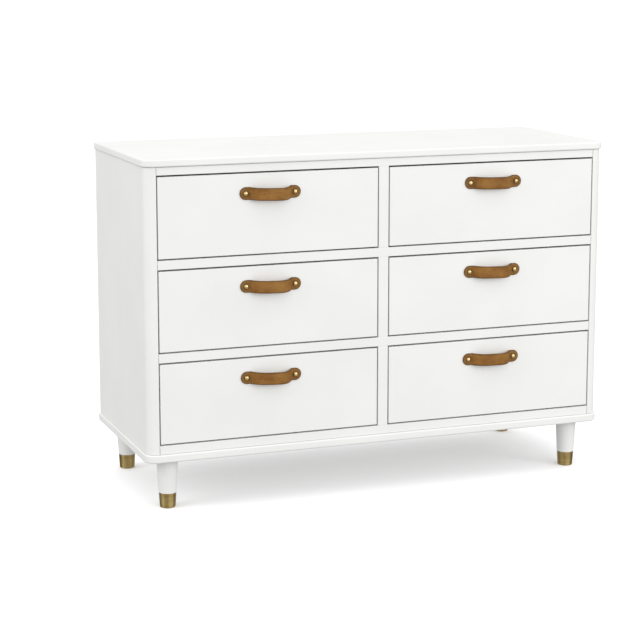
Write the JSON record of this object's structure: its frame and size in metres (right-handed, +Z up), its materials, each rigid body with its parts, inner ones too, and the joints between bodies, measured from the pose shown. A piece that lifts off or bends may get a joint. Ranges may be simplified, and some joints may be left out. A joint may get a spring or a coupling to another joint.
{
  "type": "dresser with drawers",
  "caption": "Low wide dresser with inset drawers on ball-bearing slides, arched leather strap pulls, rounded front corners and tapered legs with brass caps.",
  "frame": {"origin": "on the floor, under the middle of the box around the whole dresser with its pulls", "axes": "+X to the right as seen from the front, +Y from the drawer fronts to the back, +Z up; the drawers open towards -Y"},
  "size_m": [1.2318, 0.4952, 0.8636],
  "materials": {
    "painted_wood": "satin white paint",
    "back_board": "flat white paint on thin board",
    "drawer_wood": "clear lacquer",
    "drawer_ply": "clear lacquer on plywood",
    "leather": "waxed tan leather with burnished edges",
    "brass": "polished",
    "leg_brass": "brushed and aged",
    "slide_steel": "zinc plated"
  },
  "bodies": {
    "case": {"top_panel": "painted_wood", "base_panel": "painted_wood", "left_side_panel": "painted_wood", "right_side_panel": "painted_wood", "left_post": "painted_wood", "right_post": "painted_wood", "top_rail": "painted_wood", "divider_rails": "painted_wood", "bottom_rail": "painted_wood", "centre_stiles": "painted_wood", "centre_partition": "drawer_wood", "back_panel": "back_board", "rear_rail": "painted_wood", "slide_packers": "drawer_wood", "case_slides": "slide_steel", "legs": "painted_wood", "leg_caps": "leg_brass", "leg_bolts": "slide_steel"},
    "top_left_drawer": {"top_left_front": "painted_wood", "top_left_box": "drawer_wood", "top_left_bottom_panel": "drawer_ply", "top_left_strap": "leather", "top_left_screws": "brass", "top_left_drawer_slides": "slide_steel"},
    "top_left_runners": {"top_left_middle_slides": "slide_steel"},
    "top_right_drawer": {"top_right_front": "painted_wood", "top_right_box": "drawer_wood", "top_right_bottom_panel": "drawer_ply", "top_right_strap": "leather", "top_right_screws": "brass", "top_right_drawer_slides": "slide_steel"},
    "top_right_runners": {"top_right_middle_slides": "slide_steel"},
    "middle_left_drawer": {"middle_left_front": "painted_wood", "middle_left_box": "drawer_wood", "middle_left_bottom_panel": "drawer_ply", "middle_left_strap": "leather", "middle_left_screws": "brass", "middle_left_drawer_slides": "slide_steel"},
    "middle_left_runners": {"middle_left_middle_slides": "slide_steel"},
    "middle_right_drawer": {"middle_right_front": "painted_wood", "middle_right_box": "drawer_wood", "middle_right_bottom_panel": "drawer_ply", "middle_right_strap": "leather", "middle_right_screws": "brass", "middle_right_drawer_slides": "slide_steel"},
    "middle_right_runners": {"middle_right_middle_slides": "slide_steel"},
    "bottom_left_drawer": {"bottom_left_front": "painted_wood", "bottom_left_box": "drawer_wood", "bottom_left_bottom_panel": "drawer_ply", "bottom_left_strap": "leather", "bottom_left_screws": "brass", "bottom_left_drawer_slides": "slide_steel"},
    "bottom_left_runners": {"bottom_left_middle_slides": "slide_steel"},
    "bottom_right_drawer": {"bottom_right_front": "painted_wood", "bottom_right_box": "drawer_wood", "bottom_right_bottom_panel": "drawer_ply", "bottom_right_strap": "leather", "bottom_right_screws": "brass", "bottom_right_drawer_slides": "slide_steel"},
    "bottom_right_runners": {"bottom_right_middle_slides": "slide_steel"}
  },
  "joints": [
    {"name": "top_left_slide", "type": "slide", "parent": "case", "child": "top_left_drawer", "axis": [0, -1, 0], "range_m": [0, 0.38]},
    {"name": "top_left_runner_slide", "type": "slide", "parent": "case", "child": "top_left_runners", "axis": [0, -1, 0], "range_m": [0, 0.19]},
    {"name": "top_right_slide", "type": "slide", "parent": "case", "child": "top_right_drawer", "axis": [0, -1, 0], "range_m": [0, 0.38]},
    {"name": "top_right_runner_slide", "type": "slide", "parent": "case", "child": "top_right_runners", "axis": [0, -1, 0], "range_m": [0, 0.19]},
    {"name": "middle_left_slide", "type": "slide", "parent": "case", "child": "middle_left_drawer", "axis": [0, -1, 0], "range_m": [0, 0.38]},
    {"name": "middle_left_runner_slide", "type": "slide", "parent": "case", "child": "middle_left_runners", "axis": [0, -1, 0], "range_m": [0, 0.19]},
    {"name": "middle_right_slide", "type": "slide", "parent": "case", "child": "middle_right_drawer", "axis": [0, -1, 0], "range_m": [0, 0.38]},
    {"name": "middle_right_runner_slide", "type": "slide", "parent": "case", "child": "middle_right_runners", "axis": [0, -1, 0], "range_m": [0, 0.19]},
    {"name": "bottom_left_slide", "type": "slide", "parent": "case", "child": "bottom_left_drawer", "axis": [0, -1, 0], "range_m": [0, 0.38]},
    {"name": "bottom_left_runner_slide", "type": "slide", "parent": "case", "child": "bottom_left_runners", "axis": [0, -1, 0], "range_m": [0, 0.19]},
    {"name": "bottom_right_slide", "type": "slide", "parent": "case", "child": "bottom_right_drawer", "axis": [0, -1, 0], "range_m": [0, 0.38]},
    {"name": "bottom_right_runner_slide", "type": "slide", "parent": "case", "child": "bottom_right_runners", "axis": [0, -1, 0], "range_m": [0, 0.19]}
  ],
  "couplings": [
    {"joint": "top_left_runner_slide", "follows": "top_left_slide", "ratio": 0.5},
    {"joint": "top_right_runner_slide", "follows": "top_right_slide", "ratio": 0.5},
    {"joint": "middle_left_runner_slide", "follows": "middle_left_slide", "ratio": 0.5},
    {"joint": "middle_right_runner_slide", "follows": "middle_right_slide", "ratio": 0.5},
    {"joint": "bottom_left_runner_slide", "follows": "bottom_left_slide", "ratio": 0.5},
    {"joint": "bottom_right_runner_slide", "follows": "bottom_right_slide", "ratio": 0.5}
  ]
}
